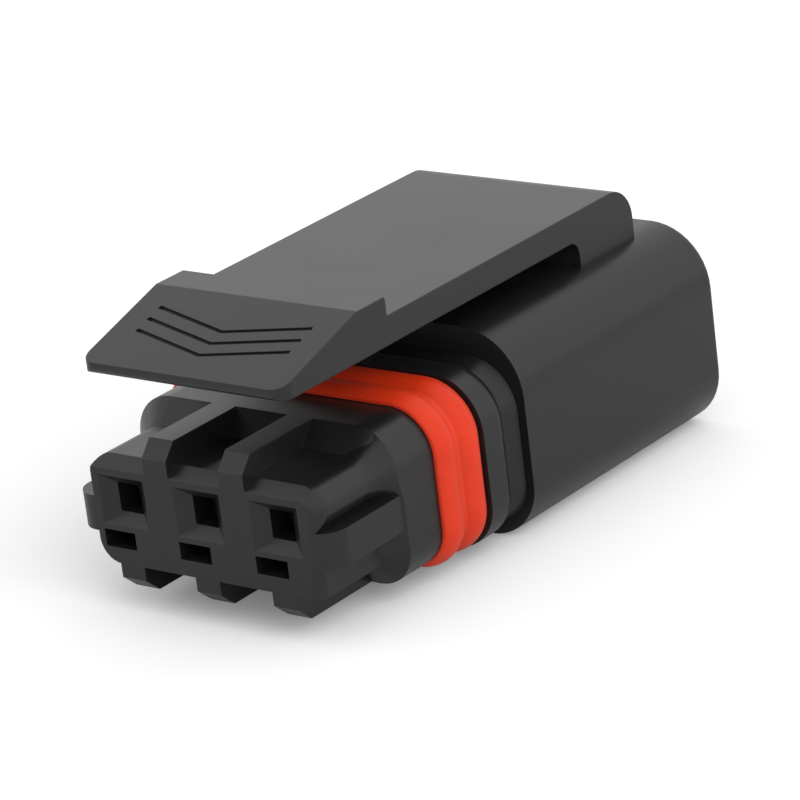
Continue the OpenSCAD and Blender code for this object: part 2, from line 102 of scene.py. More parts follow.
# Latch: a pad with a sloped front and rounded toe, a thin arm, and a root on the shell's roof.
ARM_THICK = 0.78 * MM
PAD_LENGTH = 4.37 * MM
PAD_FLAT = 1.12 * MM
PAD_LIP = 0.34 * MM
PAD_CORNER = 0.45 * MM
PAD_TOE = 0.22 * MM
ROOT_LENGTH = 2.5 * MM
ROOT_INSET = 1.47 * MM
ROOT_INNER = 0.38 * MM
ROOT_OUTER = 0.9 * MM
ROOT_SINK = 0.12 * MM
SHELL_ROOF = 2.68 * MM
EDGE_ROUND = 0.035 * MM
STEP_EDGE = 0.04 * MM
STEP_CHAMFER = 0.012 * MM
STEP_FOOT = 0.03 * MM
CREST_EASE = 0.02 * MM
CREST_DROP = 0.006 * MM
SKIN = 0.01 * MM

# Engraved chevrons on the pad's slope.
MARKS = 3
MARK_PITCH = 0.5 * MM
MARK_WIDTH = 5 * MM
MARK_LENGTH = 0.62 * MM
MARK_STROKE = 0.13 * MM
MARK_DEPTH = 0.07 * MM


# ---------------------------------------------------------------- node helpers
def place(tree, kind, settings=None, **inputs):
    """Adds a node. Settings are its own properties; inputs are values or sockets, by socket name."""
    node = tree.nodes.new(kind)
    for key, value in (settings or {}).items():
        setattr(node, key, value)
    for key, value in inputs.items():
        feed(tree, node, key.replace("_", " "), value)
    return node


def feed(tree, node, name, value):
    """Gives a node's input a value, or links a socket to it."""
    socket = node.inputs[name] if isinstance(name, int) else find_input(node, name)
    if isinstance(value, bpy.types.NodeSocket):
        tree.links.new(value, socket)
    else:
        socket.default_value = value


def find_input(node, name):
    """The enabled input with this name."""
    for socket in node.inputs:
        if socket.name == name and socket.enabled:
            return socket
    raise KeyError(f"{node.bl_idname} has no input named {name}")


def math_node(tree, operation, *values):
    """A Math node; returns its output."""
    node = tree.nodes.new("ShaderNodeMath")
    node.operation = operation
    for i, value in enumerate(values):
        feed(tree, node, i, value)
    return node.outputs[0]


def times(tree, first, second):
    """Product of two numbers or sockets; returns the output."""
    return math_node(tree, "MULTIPLY", first, second)


def minus(tree, first, second):
    """First number or socket less the second; returns the output."""
    return math_node(tree, "SUBTRACT", first, second)


def remap(tree, value, low, high, to_low, to_high):
    """Maps a value from one range to another, clamped; returns its output."""
    node = tree.nodes.new("ShaderNodeMapRange")
    for i, number in enumerate((value, low, high, to_low, to_high)):
        feed(tree, node, i, number)
    return node.outputs[0]


def noise(tree, vector, scale, detail=2.0, roughness=0.5):
    """Noise pattern; returns its value output."""
    node = tree.nodes.new("ShaderNodeTexNoise")
    feed(tree, node, "Vector", vector)
    feed(tree, node, "Scale", scale)
    feed(tree, node, "Detail", detail)
    feed(tree, node, "Roughness", roughness)
    return node.outputs["Fac"]


def group_sockets(tree, inputs, outputs):
    """Makes a group's named inputs and outputs; inputs are (name, type, default)."""
    for name, kind, default in inputs:
        socket = tree.interface.new_socket(name=name, in_out="INPUT", socket_type=kind)
        if default is not None:
            socket.default_value = default
    for name, kind in outputs:
        tree.interface.new_socket(name=name, in_out="OUTPUT", socket_type=kind)


FLOAT = "NodeSocketFloat"
WHOLE = "NodeSocketInt"
VECTOR = "NodeSocketVector"
MATERIAL = "NodeSocketMaterial"
GEOMETRY = "NodeSocketGeometry"


# ---------------------------------------------------------------- shared surface effects
def make_moulded_grain():
    """Fine spark-eroded grain of a moulding tool, with slow flow marks under it."""
    tree = bpy.data.node_groups.new("Moulded grain", "ShaderNodeTree")
    group_sockets(
        tree,
        [("Vector", VECTOR, None), ("Grain Size", FLOAT, 0.03 * MM), ("Flow Size", FLOAT, 2 * MM)],
        [("Height", FLOAT), ("Grain", FLOAT), ("Flow", FLOAT)],
    )
    inside = tree.nodes.new("NodeGroupInput")
    outside = tree.nodes.new("NodeGroupOutput")
    vector = inside.outputs["Vector"]
    grain_scale = math_node(tree, "DIVIDE", 1.0, inside.outputs["Grain Size"])
    flow_scale = math_node(tree, "DIVIDE", 1.0, inside.outputs["Flow Size"])
    grain = noise(tree, vector, grain_scale, 2.0, 0.55)
    pits = tree.nodes.new("ShaderNodeTexVoronoi")
    pits.feature = "SMOOTH_F1"
    feed(tree, pits, "Vector", vector)
    feed(tree, pits, "Scale", times(tree, grain_scale, 0.7))
    feed(tree, pits, "Smoothness", 0.6)
    flow = noise(tree, vector, flow_scale, 3.0, 0.5)
    height = math_node(tree, "ADD", times(tree, grain, 0.7), pits.outputs["Distance"])
    tree.links.new(height, outside.inputs["Height"])
    tree.links.new(grain, outside.inputs["Grain"])
    tree.links.new(flow, outside.inputs["Flow"])
    return tree


def make_soft_edges():
    """Rounds the look of every moulded edge, and gives a mask of where the edges are."""
    tree = bpy.data.node_groups.new("Soft edges", "ShaderNodeTree")
    group_sockets(tree, [("Radius", FLOAT, 0.04 * MM)], [("Normal", VECTOR), ("Edge", FLOAT)])
    inside = tree.nodes.new("NodeGroupInput")
    outside = tree.nodes.new("NodeGroupOutput")
    bevel = tree.nodes.new("ShaderNodeBevel")
    bevel.samples = 6
    tree.links.new(inside.outputs["Radius"], bevel.inputs["Radius"])
    surface = tree.nodes.new("ShaderNodeNewGeometry")
    turn = tree.nodes.new("ShaderNodeVectorMath")
    turn.operation = "DOT_PRODUCT"
    tree.links.new(bevel.outputs["Normal"], turn.inputs[0])
    tree.links.new(surface.outputs["Normal"], turn.inputs[1])
    edge = remap(tree, turn.outputs["Value"], 0.995, 0.8, 0.0, 1.0)
    tree.links.new(bevel.outputs["Normal"], outside.inputs["Normal"])
    tree.links.new(edge, outside.inputs["Edge"])
    return tree


def make_settled_dust():
    """Mask of the faint dust and handling haze on faces that look upwards."""
    tree = bpy.data.node_groups.new("Settled dust", "ShaderNodeTree")
    group_sockets(tree, [("Vector", VECTOR, None), ("Patch Size", FLOAT, 3 * MM)], [("Mask", FLOAT)])
    inside = tree.nodes.new("NodeGroupInput")
    outside = tree.nodes.new("NodeGroupOutput")
    vector = inside.outputs["Vector"]
    surface = tree.nodes.new("ShaderNodeNewGeometry")
    split = tree.nodes.new("ShaderNodeSeparateXYZ")
    tree.links.new(surface.outputs["Normal"], split.inputs[0])
    upward = remap(tree, split.outputs["Z"], 0.5, 1.0, 0.0, 1.0)
    scale = math_node(tree, "DIVIDE", 1.0, inside.outputs["Patch Size"])
    patches = remap(tree, noise(tree, vector, scale, 4.0, 0.6), 0.4, 0.75, 0.0, 1.0)
    mask = times(tree, upward, patches)
    tree.links.new(mask, outside.inputs["Mask"])
    return tree


GRAIN = make_moulded_grain()
EDGES = make_soft_edges()
DUST = make_settled_dust()


def use_group(tree, group, **inputs):
    """Puts a shared effect in a material, with this material's own values."""
    node = tree.nodes.new("ShaderNodeGroup")
    node.node_tree = group
    for key, value in inputs.items():
        feed(tree, node, key.replace("_", " "), value)
    return node


def mix_value(tree, factor, first, second):
    """Mixes two numbers; returns the output."""
    node = tree.nodes.new("ShaderNodeMix")
    feed(tree, node, 0, factor)
    feed(tree, node, 2, first)
    feed(tree, node, 3, second)
    return node.outputs[0]


def mix_colour(tree, factor, first, second):
    """Mixes two colours; returns the output."""
    node = tree.nodes.new("ShaderNodeMix")
    node.data_type = "RGBA"
    feed(tree, node, 0, factor)
    feed(tree, node, 6, first)
    feed(tree, node, 7, second)
    return node.outputs[2]


# ---------------------------------------------------------------- materials
def new_material(name):
    """A material with its Principled shader; returns material, tree, shader and object coordinates."""
    material = bpy.data.materials.new(name)
    material.use_nodes = True
    tree = material.node_tree
    tree.nodes.clear()
    shader = tree.nodes.new("ShaderNodeBsdfPrincipled")
    output = tree.nodes.new("ShaderNodeOutputMaterial")
    tree.links.new(shader.outputs[0], output.inputs["Surface"])
    where = tree.nodes.new("ShaderNodeTexCoord").outputs["Object"]
    return material, tree, shader, where


def moulded_plastic(name, deep, light, rough, grain_size, grain_depth, edge_radius):
    """Satin black glass-filled polyester with tool grain, soft edges and a trace of handling haze."""
    material, tree, shader, where = new_material(name)
    grain = use_group(tree, GRAIN, Vector=where, Grain_Size=grain_size, Flow_Size=2.2 * MM)
    edges = use_group(tree, EDGES, Radius=edge_radius)
    dust = use_group(tree, DUST, Vector=where, Patch_Size=2.6 * MM)
    edge, haze = edges.outputs["Edge"], dust.outputs["Mask"]
    tone = mix_colour(tree, grain.outputs["Flow"], deep, light)
    worn = mix_colour(tree, times(tree, edge, 0.25), tone, (0.03, 0.03, 0.031, 1))
    hazed = mix_colour(tree, times(tree, haze, 0.008), worn, (0.30, 0.29, 0.28, 1))
    feed(tree, shader, "Base Color", hazed)
    uneven = remap(tree, grain.outputs["Flow"], 0.3, 0.7, rough - 0.015, rough + 0.015)
    polished = minus(tree, uneven, times(tree, edge, 0.04))
    feed(tree, shader, "Roughness", math_node(tree, "ADD", polished, times(tree, haze, 0.015)))
    bump = place(
        tree, "ShaderNodeBump", Strength=0.35, Distance=grain_depth,
        Height=grain.outputs["Height"], Normal=edges.outputs["Normal"],
    )
    feed(tree, shader, "Normal", bump.outputs[0])
    shader.inputs["IOR"].default_value = 1.5
    return material


def silicone(name, deep, light, rough, grain_size):
    """Self-lubricating silicone: a dense colour with slow shifts, a soft satin skin and fine flow grain."""
    material, tree, shader, where = new_material(name)
    grain = use_group(tree, GRAIN, Vector=where, Grain_Size=grain_size, Flow_Size=1.1 * MM)
    dust = use_group(tree, DUST, Vector=where, Patch_Size=1.3 * MM)
    flow, haze = grain.outputs["Flow"], dust.outputs["Mask"]
    tone = mix_colour(tree, remap(tree, flow, 0.3, 0.7, 0.0, 1.0), deep, light)
    bloom = mix_colour(tree, times(tree, haze, 0.03), tone, (0.8, 0.55, 0.45, 1))
    feed(tree, shader, "Base Color", bloom)
    feed(tree, shader, "Roughness", remap(tree, flow, 0.3, 0.7, rough - 0.05, rough + 0.05))
    bump = place(
        tree, "ShaderNodeBump", Strength=0.3, Distance=0.004 * MM, Height=grain.outputs["Height"]
    )
    feed(tree, shader, "Normal", bump.outputs[0])
    shader.inputs["IOR"].default_value = 1.41
    shader.inputs["Subsurface Weight"].default_value = 0.12
    shader.inputs["Subsurface Radius"].default_value = (1.0, 0.25, 0.1)
    shader.inputs["Subsurface Scale"].default_value = 0.12 * MM
    return material


def tinned_contact(name):
    """Tin-plated contact strip: a soft metal shine with rolling streaks along the strip."""
    material, tree, shader, where = new_material(name)
    stretch = place(tree, "ShaderNodeMapping", Vector=where)
    stretch.inputs["Scale"].default_value = (1.0, 0.08, 1.0)
    grain = use_group(tree, GRAIN, Vector=stretch.outputs[0], Grain_Size=0.05 * MM, Flow_Size=0.6 * MM)
    edges = use_group(tree, EDGES, Radius=0.02 * MM)
    tone = mix_colour(tree, grain.outputs["Flow"], (0.52, 0.50, 0.46, 1), (0.72, 0.70, 0.66, 1))
    feed(tree, shader, "Base Color", tone)
    feed(tree, shader, "Roughness", remap(tree, grain.outputs["Grain"], 0.3, 0.7, 0.26, 0.42))
    bump = place(
        tree, "ShaderNodeBump", Strength=0.25, Distance=0.003 * MM,
        Height=grain.outputs["Height"], Normal=edges.outputs["Normal"],
    )
    feed(tree, shader, "Normal", bump.outputs[0])
    shader.inputs["Metallic"].default_value = 1.0
    return material


HOUSING_BLACK = moulded_plastic(
    "Housing black", deep=(0.008, 0.008, 0.0082, 1), light=(0.011, 0.011, 0.0112, 1),
    rough=0.30, grain_size=0.035 * MM, grain_depth=0.004 * MM, edge_radius=0.018 * MM,
)
LATCH_BLACK = moulded_plastic(
    "Latch black", deep=(0.009, 0.009, 0.0092, 1), light=(0.012, 0.012, 0.0122, 1),
    rough=0.31, grain_size=0.03 * MM, grain_depth=0.003 * MM, edge_radius=0.02 * MM,
)
COVER_BLACK = moulded_plastic(
    "Rear cover black", deep=(0.008, 0.008, 0.008, 1), light=(0.013, 0.013, 0.013, 1),
    rough=0.5, grain_size=0.05 * MM, grain_depth=0.006 * MM, edge_radius=0.05 * MM,
)
SEAL_ORANGE = silicone(
    "Ring seal orange", deep=(0.65, 0.030, 0.004, 1), light=(0.73, 0.039, 0.006, 1),
    rough=0.45, grain_size=0.03 * MM,
)
WIRE_SEAL_ORANGE = silicone(
    "Wire seal orange", deep=(0.68, 0.05, 0.014, 1), light=(0.78, 0.065, 0.018, 1),
    rough=0.5, grain_size=0.04 * MM,
)
CONTACT_TIN = tinned_contact("Contact tin")


def dress(piece, material):
    """Gives a piece this one material, with no empty slots."""
    mesh = piece.data
    mesh.materials.clear()
    mesh.materials.append(material)
    mesh.polygons.foreach_set("material_index", [0] * len(mesh.polygons))


CAD_FINISHES = {
    "inner_housing": HOUSING_BLACK, "outer_housing": HOUSING_BLACK, "rear_cover": COVER_BLACK,
    "terminal_1": CONTACT_TIN, "terminal_2": CONTACT_TIN, "terminal_3": CONTACT_TIN,
}
for node_name, finish in CAD_FINISHES.items():
    dress(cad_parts[node_name], finish)


# ---------------------------------------------------------------- geometry node helpers
def geometry_tree(name, inputs):
    """A Geometry Nodes tree with a geometry output and named inputs, as (name, type, default)."""
    tree = bpy.data.node_groups.new(name, "GeometryNodeTree")
    group_sockets(tree, [("Geometry", GEOMETRY, None)] + inputs, [("Geometry", GEOMETRY)])
    inside = tree.nodes.new("NodeGroupInput")
    outside = tree.nodes.new("NodeGroupOutput")
    return tree, inside.outputs, outside.inputs["Geometry"]


def end_tree(tree, geometry, material, result):
    """Realizes the instances, sets the material and closes the tree."""
    real = place(tree, "GeometryNodeRealizeInstances", Geometry=geometry)
    dressed = place(tree, "GeometryNodeSetMaterial", Geometry=real.outputs[0], Material=material)
    tree.links.new(dressed.outputs[0], result)


def vector_from(tree, x=0.0, y=0.0, z=0.0):
    """Combines three numbers or sockets; returns the vector output."""
    return place(tree, "ShaderNodeCombineXYZ", X=x, Y=y, Z=z).outputs[0]


def moved_to(tree, geometry, x, y):
    """Sets the points' places from two numbers or sockets; returns the geometry output."""
    position = vector_from(tree, x, y, 0.0)
    return place(tree, "GeometryNodeSetPosition", Geometry=geometry, Position=position).outputs[0]


def joined(tree, *parts):
    """Joins geometry outputs; returns the joined output."""
    node = tree.nodes.new("GeometryNodeJoinGeometry")
    for part in parts:
        tree.links.new(part, node.inputs[0])
    return node.outputs[0]


def stood_up(tree, geometry):
    """Turns what was drawn flat so that it faces the front; returns the geometry output."""
    turn = (math.radians(90), 0, 0)
    return place(tree, "GeometryNodeTransform", Geometry=geometry, Rotation=turn).outputs[0]


def grow(start, tree, values, name):
    """Runs a tree on an object with these input values, and keeps the result as a plain mesh."""
    modifier = start.modifiers.new("Build", "NODES")
    modifier.node_group = tree
    for item in tree.interface.items_tree:
        if item.item_type == "SOCKET" and item.in_out == "INPUT" and item.name in values:
            modifier[item.identifier] = values[item.name]
    start.update_tag()
    bpy.context.view_layer.update()
    evaluated = start.evaluated_get(bpy.context.evaluated_depsgraph_get())
    mesh = bpy.data.meshes.new_from_object(evaluated)
    mesh.name = name
    bpy.data.objects.remove(start)
    piece = bpy.data.objects.new(name, mesh)
    bpy.context.scene.collection.objects.link(piece)
    return piece


def blank(name):
    """An empty mesh object for a tree to work on."""
    piece = bpy.data.objects.new(name, bpy.data.meshes.new(name))
    bpy.context.scene.collection.objects.link(piece)
    return piece


def shade_by_angle(piece, degrees):
    """Smooth shading with sharp edges over an angle."""
    mesh = piece.data
    mesh.shade_smooth()
    mesh.set_sharp_from_angle(angle=math.radians(degrees))


def even_normals(piece):
    """Keeps large flats flat beside small rounds, by weighting the normals with face area.

    The weights need areas that are not tiny, so the mesh is in millimetres while they are made.
    """
    piece.data.transform(Matrix.Scale(1 / MM, 4))
    modifier = piece.modifiers.new("Even normals", "WEIGHTED_NORMAL")
    modifier.keep_sharp = True
    modifier.weight = 100
    bpy.context.view_layer.update()
    evaluated = piece.evaluated_get(bpy.context.evaluated_depsgraph_get())
    finished = bpy.data.meshes.new_from_object(evaluated)
    piece.modifiers.clear()
    old = piece.data
    piece.data = finished
    finished.name = old.name + "_even"
    finished.transform(Matrix.Scale(MM, 4))
    bpy.data.meshes.remove(old)


# ---------------------------------------------------------------- seals
SEAL_SHARP = 40
LAND_SOCKETS = [
    ("Width", FLOAT, 8 * MM), ("Height", FLOAT, 4 * MM),
    ("Top Corner", FLOAT, 1 * MM), ("Low Corner", FLOAT, 1 * MM), ("Corner Segments", WHOLE, 24),
]


def land_path(tree, given):
    """Curve round the seal land's section, drawn flat; returns the curve output."""
    width, height, top_corner, low_corner, segments = (given[name] for name, _, _ in LAND_SOCKETS)
    box_curve = place(tree, "GeometryNodeCurvePrimitiveQuadrilateral", Width=width, Height=height)
    where = tree.nodes.new("GeometryNodeInputPosition")
    split = place(tree, "ShaderNodeSeparateXYZ", Vector=where.outputs[0])
    upper = math_node(tree, "GREATER_THAN", split.outputs["Y"], 0.0)
    extra = times(tree, upper, minus(tree, top_corner, low_corner))
    radius = math_node(tree, "ADD", low_corner, extra)
    round_corners = place(
        tree, "GeometryNodeFilletCurve", {"mode": "POLY"},
        Curve=box_curve.outputs[0], Count=segments, Radius=radius,
    )
    return round_corners.outputs[0]


def make_lipped_band_tree():
    """A band that runs round the seal land, with round lips at an even pitch."""
    tree, given, result = geometry_tree("Lipped band", LAND_SOCKETS + [
        ("Band Length", FLOAT, 2 * MM), ("Band Thickness", FLOAT, 0.1 * MM), ("Inset", FLOAT, 0.0),
        ("Lip Radius", FLOAT, 0.5 * MM), ("Lip Height", FLOAT, 0.3 * MM),
        ("Lip Pitch", FLOAT, 1 * MM), ("Lips", WHOLE, 2),
        ("Profile Points", WHOLE, 72), ("Material", MATERIAL, None),
    ])
    level = place(tree, "GeometryNodeSetCurveNormal", {"mode": "Z_UP"}, Curve=land_path(tree, given))

    # The profile's points run along the band; the last two close it on the inside.
    line = place(tree, "GeometryNodeMeshLine", Count=given["Profile Points"])
    index = tree.nodes.new("GeometryNodeInputIndex").outputs[0]
    last = minus(tree, given["Profile Points"], 3.0)
    along = math_node(tree, "DIVIDE", index, last)
    place_along = times(tree, minus(tree, along, 0.5), given["Band Length"])

    # Each point rises on a round about the middle of its nearest lip.
    half_lips = math_node(tree, "DIVIDE", minus(tree, given["Lips"], 1.0), 2.0)
    pitches = math_node(tree, "DIVIDE", place_along, given["Lip Pitch"])
    counted = math_node(tree, "ROUND", math_node(tree, "ADD", pitches, half_lips))
    nearest = minus(tree, counted, half_lips)
    at_least = math_node(tree, "MAXIMUM", nearest, times(tree, half_lips, -1.0))
    held = math_node(tree, "MINIMUM", at_least, half_lips)
    away = minus(tree, place_along, times(tree, held, given["Lip Pitch"]))
    radius_squared = math_node(tree, "POWER", given["Lip Radius"], 2.0)
    inside_root = minus(tree, radius_squared, math_node(tree, "POWER", away, 2.0))
    dome = math_node(tree, "SQRT", math_node(tree, "MAXIMUM", inside_root, 0.0))
    lip = math_node(tree, "ADD", dome, minus(tree, given["Lip Height"], given["Lip Radius"]))
    rise = math_node(tree, "MAXIMUM", lip, given["Band Thickness"])

    closing = math_node(tree, "GREATER_THAN", index, math_node(tree, "ADD", last, 0.5))
    final = math_node(tree, "GREATER_THAN", index, math_node(tree, "ADD", last, 1.5))
    half = times(tree, given["Band Length"], 0.5)
    closing_place = minus(tree, half, times(tree, final, given["Band Length"]))
    profile_x = mix_value(tree, closing, rise, given["Inset"])
    profile_y = mix_value(tree, closing, place_along, closing_place)
    shaped = moved_to(tree, line.outputs[0], profile_x, profile_y)
    as_curve = place(tree, "GeometryNodeMeshToCurve", Mesh=shaped)
    closed = place(tree, "GeometryNodeSetSplineCyclic", Geometry=as_curve.outputs[0], Cyclic=True)

    swept = place(tree, "GeometryNodeCurveToMesh", Curve=level.outputs[0])
    tree.links.new(closed.outputs[0], swept.inputs["Profile Curve"])
    smooth = place(tree, "GeometryNodeSetShadeSmooth", Geometry=swept.outputs[0])
    end_tree(tree, stood_up(tree, smooth.outputs[0]), given["Material"], result)
    return tree


LIPPED_BAND = make_lipped_band_tree()


def on_land(box):
    """Move to the middle of the seal land's outline and of this box's length."""
    return Matrix.Translation((LAND_MIDDLE.x, (box[0].y + box[1].y) / 2, LAND_MIDDLE.z))


def make_ring_seal():
    """Double-lipped silicone ring in front of the flange."""
    piece = grow(blank("seal_start"), LIPPED_BAND, {
        "Width": LAND_WIDTH, "Height": LAND_HEIGHT,
        "Top Corner": LAND_TOP_CORNER, "Low Corner": LAND_LOW_CORNER,
        "Band Length": SEAL[1].y - SEAL[0].y - 2 * SEAL_CLEARANCE,
        "Band Thickness": RING_BAND, "Inset": RING_INSET, "Lips": RING_LIPS,
        "Lip Radius": RING_LIP_RADIUS, "Lip Height": RING_LIP_HEIGHT, "Lip Pitch": RING_LIP_PITCH,
        "Material": SEAL_ORANGE,
    }, "ring_seal_skin")
    piece.data.transform(on_land(SEAL))
    for vertex in piece.data.vertices:
        vertex.co.z = SEAL[1].z - (SEAL[1].z - vertex.co.z) * RING_SQUEEZE
        vertex.co.x *= RING_PINCH
    shade_by_angle(piece, SEAL_SHARP)
    return piece


ring_seal = make_ring_seal()
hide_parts("ring_seal")
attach(ring_seal, "connector")
ring_seal.visible_diffuse = False


def make_wire_block_tree():
    """A block in the seal land's outline, with a row of round wire holes through it."""
    tree, given, result = geometry_tree("Wire block", LAND_SOCKETS + [
        ("Length", FLOAT, 2.9 * MM), ("Holes", WHOLE, 3), ("Hole Radius", FLOAT, 0.6 * MM),
        ("Hole Pitch", FLOAT, 2.5 * MM), ("Hole Height", FLOAT, 0.3 * MM), ("Material", MATERIAL, None),
    ])
    outline = land_path(tree, given)
    row = place(tree, "GeometryNodeMeshLine", Count=given["Holes"])
    index = tree.nodes.new("GeometryNodeInputIndex").outputs[0]
    middle = math_node(tree, "DIVIDE", minus(tree, given["Holes"], 1.0), 2.0)
    across = times(tree, minus(tree, index, middle), given["Hole Pitch"])
    spots = moved_to(tree, row.outputs[0], across, given["Hole Height"])
    ring = place(tree, "GeometryNodeCurvePrimitiveCircle", Resolution=48, Radius=given["Hole Radius"])
    holes = place(tree, "GeometryNodeInstanceOnPoints", Points=spots, Instance=ring.outputs[0])
    drawn_holes = place(tree, "GeometryNodeRealizeInstances", Geometry=holes.outputs[0])
    drawing = joined(tree, outline, drawn_holes.outputs[0])
    face = place(tree, "GeometryNodeFillCurve", Curve=drawing)
    deep = place(
        tree, "GeometryNodeExtrudeMesh",
        Mesh=face.outputs[0], Offset_Scale=given["Length"], Individual=False,
    )
    back = place(tree, "GeometryNodeFlipFaces", Mesh=face.outputs[0])
    both = joined(tree, deep.outputs[0], back.outputs[0])
    closed = place(tree, "GeometryNodeMergeByDistance", Geometry=both, Distance=0.0005 * MM)
    end_tree(tree, stood_up(tree, closed.outputs[0]), given["Material"], result)
    return tree


def make_wire_seal():
    """Wire seal: a lipped band over a silicone block that has a hole for each wire."""
    inset, overlap = WIRE_BLOCK_INSET, 0.02 * MM
    length = WIRE_SEAL[1].y - WIRE_SEAL[0].y
    block_length = length - 3 * SEAL_CLEARANCE
    lips = grow(blank("wire_lips_start"), LIPPED_BAND, {
        "Width": LAND_WIDTH, "Height": LAND_HEIGHT,
        "Top Corner": LAND_TOP_CORNER, "Low Corner": LAND_LOW_CORNER, "Corner Segments": 16,
        "Band Length": length - 2 * SEAL_CLEARANCE,
        "Band Thickness": -WIRE_LIP_DEPTH, "Inset": -inset - overlap, "Lips": WIRE_LIPS,
        "Lip Radius": WIRE_LIP_RADIUS, "Lip Height": -SEAL_CLEARANCE,
        "Lip Pitch": WIRE_LIP_SPACING * length, "Material": WIRE_SEAL_ORANGE,
    }, "wire_seal_skin")
    lips.data.transform(on_land(WIRE_SEAL))
    block = grow(blank("wire_block_start"), make_wire_block_tree(), {
        "Width": LAND_WIDTH - 2 * inset, "Height": LAND_HEIGHT - 2 * inset, "Corner Segments": 16,
        "Top Corner": LAND_TOP_CORNER - inset, "Low Corner": LAND_LOW_CORNER - inset,
        "Length": block_length, "Holes": WIRE_HOLES, "Hole Radius": WIRE_HOLE_RADIUS,
        "Hole Pitch": WIRE_HOLE_PITCH, "Hole Height": -LAND_MIDDLE.z, "Material": WIRE_SEAL_ORANGE,
    }, "wire_block")
    block.data.transform(on_land(WIRE_SEAL) @ Matrix.Translation((0, block_length / 2, 0)))
    for part in (lips, block):
        shade_by_angle(part, SEAL_SHARP)
    with bpy.context.temp_override(active_object=lips, selected_editable_objects=[lips, block]):
        bpy.ops.object.join()
    dress(lips, WIRE_SEAL_ORANGE)
    return lips


wire_seal = make_wire_seal()
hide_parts("wire_seal")
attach(wire_seal, "connector")


# ---------------------------------------------------------------- latch
ARM_STEPS = 46
ROOT_STEPS = 14
LATCH_SHARP = 38


def arc_rise(radius, distance):
    """How far a quarter round has risen, this far along it."""
    left = max(radius - distance, 0.0)
    return math.sqrt(max(radius * radius - left * left, 0.0))


def quarter_places(radius, steps):
    """Distances along a quarter round that space its points evenly."""
    return [radius * (1 - math.cos(math.radians(90) * i / steps)) for i in range(steps + 1)]


def arc_fall(radius, distance):
    """How far a quarter round has fallen, this far along it."""
    return radius - math.sqrt(max(radius ** 2 - distance ** 2, 0.0))


def pad_sections():
    """Pad from its rounded toe and corners up the slope, over the crest and down the step."""
    front, low, high, half = ARM[0].y, ARM[0].z, ARM[1].z, ARM[1].x
    top, step = low + ARM_THICK, front + PAD_LENGTH
    crest = step - PAD_FLAT
    slope = (high - low - PAD_LIP) / (crest - front)
    sections = []
    for y in sorted(set(quarter_places(PAD_CORNER, 10) + quarter_places(PAD_TOE, 7))):
        width = half - PAD_CORNER + arc_rise(PAD_CORNER, y)
        floor = low + PAD_TOE - arc_rise(PAD_TOE, y)
        sections.append((front + y, width, floor, low + PAD_LIP + slope * y))
    rest = [
        (crest - CREST_EASE, high - CREST_DROP),
        (crest + CREST_EASE, high),
        (step - STEP_EDGE, high),
        (step - STEP_CHAMFER, high - STEP_CHAMFER),
        (step, high - STEP_EDGE),
        (step, top + STEP_FOOT),
        (step + STEP_FOOT / 3, top + STEP_FOOT / 3),
        (step + STEP_FOOT, top),
    ]
    return sections + [(y, half, low, level) for y, level in rest]


def arm_sections(inner):
    """Arm from the step to the root's inner round, growing by the skin that covers the CAD root."""
    low, half = ARM[0].z, ARM[1].x
    top, start = low + ARM_THICK, ARM[0].y + PAD_LENGTH + 10 * STEP_FOOT
    sections = []
    for i in range(ARM_STEPS + 1):
        y = start + (inner - start) * i / ARM_STEPS
        proud = SKIN * i / ARM_STEPS
        sections.append((y, half + proud, low - proud, top + proud))
    return sections


def root_sections(root_front, root_end):
    """Root from its inner round, down into the shell's roof, to its outer round at the back."""
    low, half = ARM[0].z - SKIN, ARM[1].x + SKIN
    top = ARM[0].z + ARM_THICK + SKIN
    inner, back = root_front - ROOT_INNER, root_end - ROOT_OUTER
    foot = SHELL_ROOF - ROOT_SINK
    sections = []
    for y in quarter_places(ROOT_INNER, 8)[1:]:
        place_y = inner + y * (1 - SKIN / ROOT_INNER)
        sections.append((place_y, half, low - arc_fall(ROOT_INNER, y), top))
    sections.append((root_front - SKIN, half, foot, top))
    for i in range(ROOT_STEPS + 1):
        y = ROOT_OUTER * math.sin(math.radians(90) * i / ROOT_STEPS)
        place_y = back + y * (1 + SKIN / ROOT_OUTER)
        sections.append((place_y, half, foot, top - arc_fall(ROOT_OUTER, y)))
    sections.append((root_end + SKIN, half, foot, foot + 0.1 * MM))
    return sections


def latch_sections():
    """Cross-sections of the latch and its root from front to back, as (y, half width, low, top)."""
    root_end = SHELL[1].y - ROOT_INSET
    root_front = root_end - ROOT_LENGTH
    arm = arm_sections(root_front - ROOT_INNER)
    return pad_sections() + arm + root_sections(root_front, root_end)


def section_loop(mesh, y, half, low, top, corner, steps):
    """One rounded rectangle across the latch, as a ring of vertices."""
    ring = []
    for side_x, side_z, turn in ((1, 1, 0), (-1, 1, 90), (-1, -1, 180), (1, -1, 270)):
        centre_x = side_x * (half - corner)
        centre_z = (top - corner) if side_z > 0 else (low + corner)
        for i in range(steps + 1):
            angle = math.radians(turn + 90 * i / steps)
            x = centre_x + corner * math.cos(angle)
            z = centre_z + corner * math.sin(angle)
            ring.append(mesh.verts.new((x, y, z)))
    return ring


